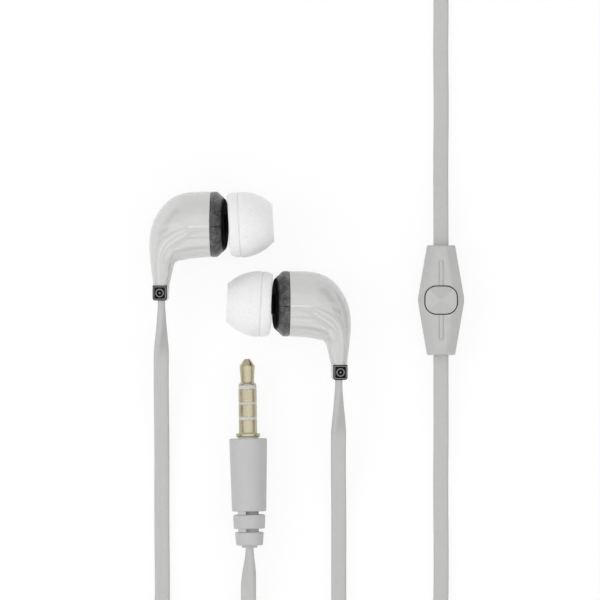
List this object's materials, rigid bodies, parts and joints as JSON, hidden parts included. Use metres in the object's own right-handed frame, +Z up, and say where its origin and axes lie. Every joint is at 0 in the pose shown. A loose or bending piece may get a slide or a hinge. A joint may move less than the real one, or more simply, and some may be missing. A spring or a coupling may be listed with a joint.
{
  "type": "wired earphones",
  "caption": "Wired in-ear earphones with elbow housings, silicone tips, a flat cord, an inline button remote with microphone, a splitter and a four-pole 3.5 mm plug.",
  "frame": {"origin": "on the table, under the middle of the box round the two earbuds", "axes": "+X the way the left ear tip points, -Y the way the stems run, +Z up from the table"},
  "size_m": [0.091, 0.1677, 0.0136],
  "materials": {
    "housing_gloss": "glossy white moulding",
    "bezel_mottled": "mottled charcoal",
    "black_gloss": "gloss black",
    "screen_steel": "fine perforated screen",
    "tip_silicone": "soft satin silicone",
    "inner_moulding": "black moulding",
    "plated_steel": "zinc plated",
    "magnet_nickel": "nickel plated",
    "coil_copper": "enamelled copper winding",
    "diaphragm_film": "thin clear film",
    "circuit_board": "solder mask",
    "lead_enamel": "soft insulated lead",
    "cord_rubber": "satin flat cord jacket",
    "remote_gloss": "glossy pale grey moulding",
    "button_satin": "satin pale grey",
    "plug_metal": "pale gold plate",
    "plug_insulation": "grey insulation",
    "collar_white": "white",
    "boot_rubber": "satin moulded boot",
    "tie_band": "woven tie band"
  },
  "bodies": {
    "earphones": {"cord_hank": "cord_rubber", "cord_tie": "tie_band", "left_badge": "black_gloss", "left_baffle_nozzle": "black_gloss", "left_bezel": "bezel_mottled", "left_bud_cord": "cord_rubber", "left_cable_grommet": "cord_rubber", "left_driver_diaphragm": "diaphragm_film", "left_driver_frame": "inner_moulding", "left_driver_magnet": "magnet_nickel", "left_driver_pole_plate": "plated_steel", "left_driver_voice_coil": "coil_copper", "left_driver_yoke": "plated_steel", "left_housing": "housing_gloss", "left_inner_lead": "lead_enamel", "left_nozzle_grille": "screen_steel", "left_splitter_cord": "cord_rubber", "left_terminal_board": "circuit_board", "main_cord": "cord_rubber", "plug_boot": "boot_rubber", "plug_collar": "collar_white", "plug_cord": "cord_rubber", "plug_core": "plug_insulation", "plug_insulator_1": "plug_insulation", "plug_insulator_2": "plug_insulation", "plug_insulator_3": "plug_insulation", "plug_ring_1": "plug_metal", "plug_ring_2": "plug_metal", "plug_sleeve": "plug_metal", "plug_tip": "plug_metal", "remote_board": "circuit_board", "remote_cord": "cord_rubber", "remote_front_shell": "remote_gloss", "remote_microphone": "magnet_nickel", "remote_rear_shell": "remote_gloss", "remote_switch": "plated_steel", "right_badge": "black_gloss", "right_baffle_nozzle": "black_gloss", "right_bezel": "bezel_mottled", "right_bud_cord": "cord_rubber", "right_cable_grommet": "cord_rubber", "right_driver_diaphragm": "diaphragm_film", "right_driver_frame": "inner_moulding", "right_driver_magnet": "magnet_nickel", "right_driver_pole_plate": "plated_steel", "right_driver_voice_coil": "coil_copper", "right_driver_yoke": "plated_steel", "right_housing": "housing_gloss", "right_inner_lead": "lead_enamel", "right_nozzle_grille": "screen_steel", "right_terminal_board": "circuit_board", "splitter_front": "remote_gloss", "splitter_rear": "remote_gloss"},
    "left_ear_tip": {"left_ear_tip": "tip_silicone"},
    "right_ear_tip": {"right_ear_tip": "tip_silicone"},
    "remote_button": {"remote_button": "button_satin"}
  },
  "joints": [
    {"name": "left_tip_pull", "type": "slide", "parent": "earphones", "child": "left_ear_tip", "axis": [0.9945, 0, 0.1045], "range_m": [0, 0.008]},
    {"name": "right_tip_pull", "type": "slide", "parent": "earphones", "child": "right_ear_tip", "axis": [-0.9945, 0, 0.1045], "range_m": [0, 0.008]},
    {"name": "button_press", "type": "slide", "parent": "earphones", "child": "remote_button", "axis": [0, 0, -1], "range_m": [0, 0.0003], "stiffness_N_per_m": 3000}
  ]
}
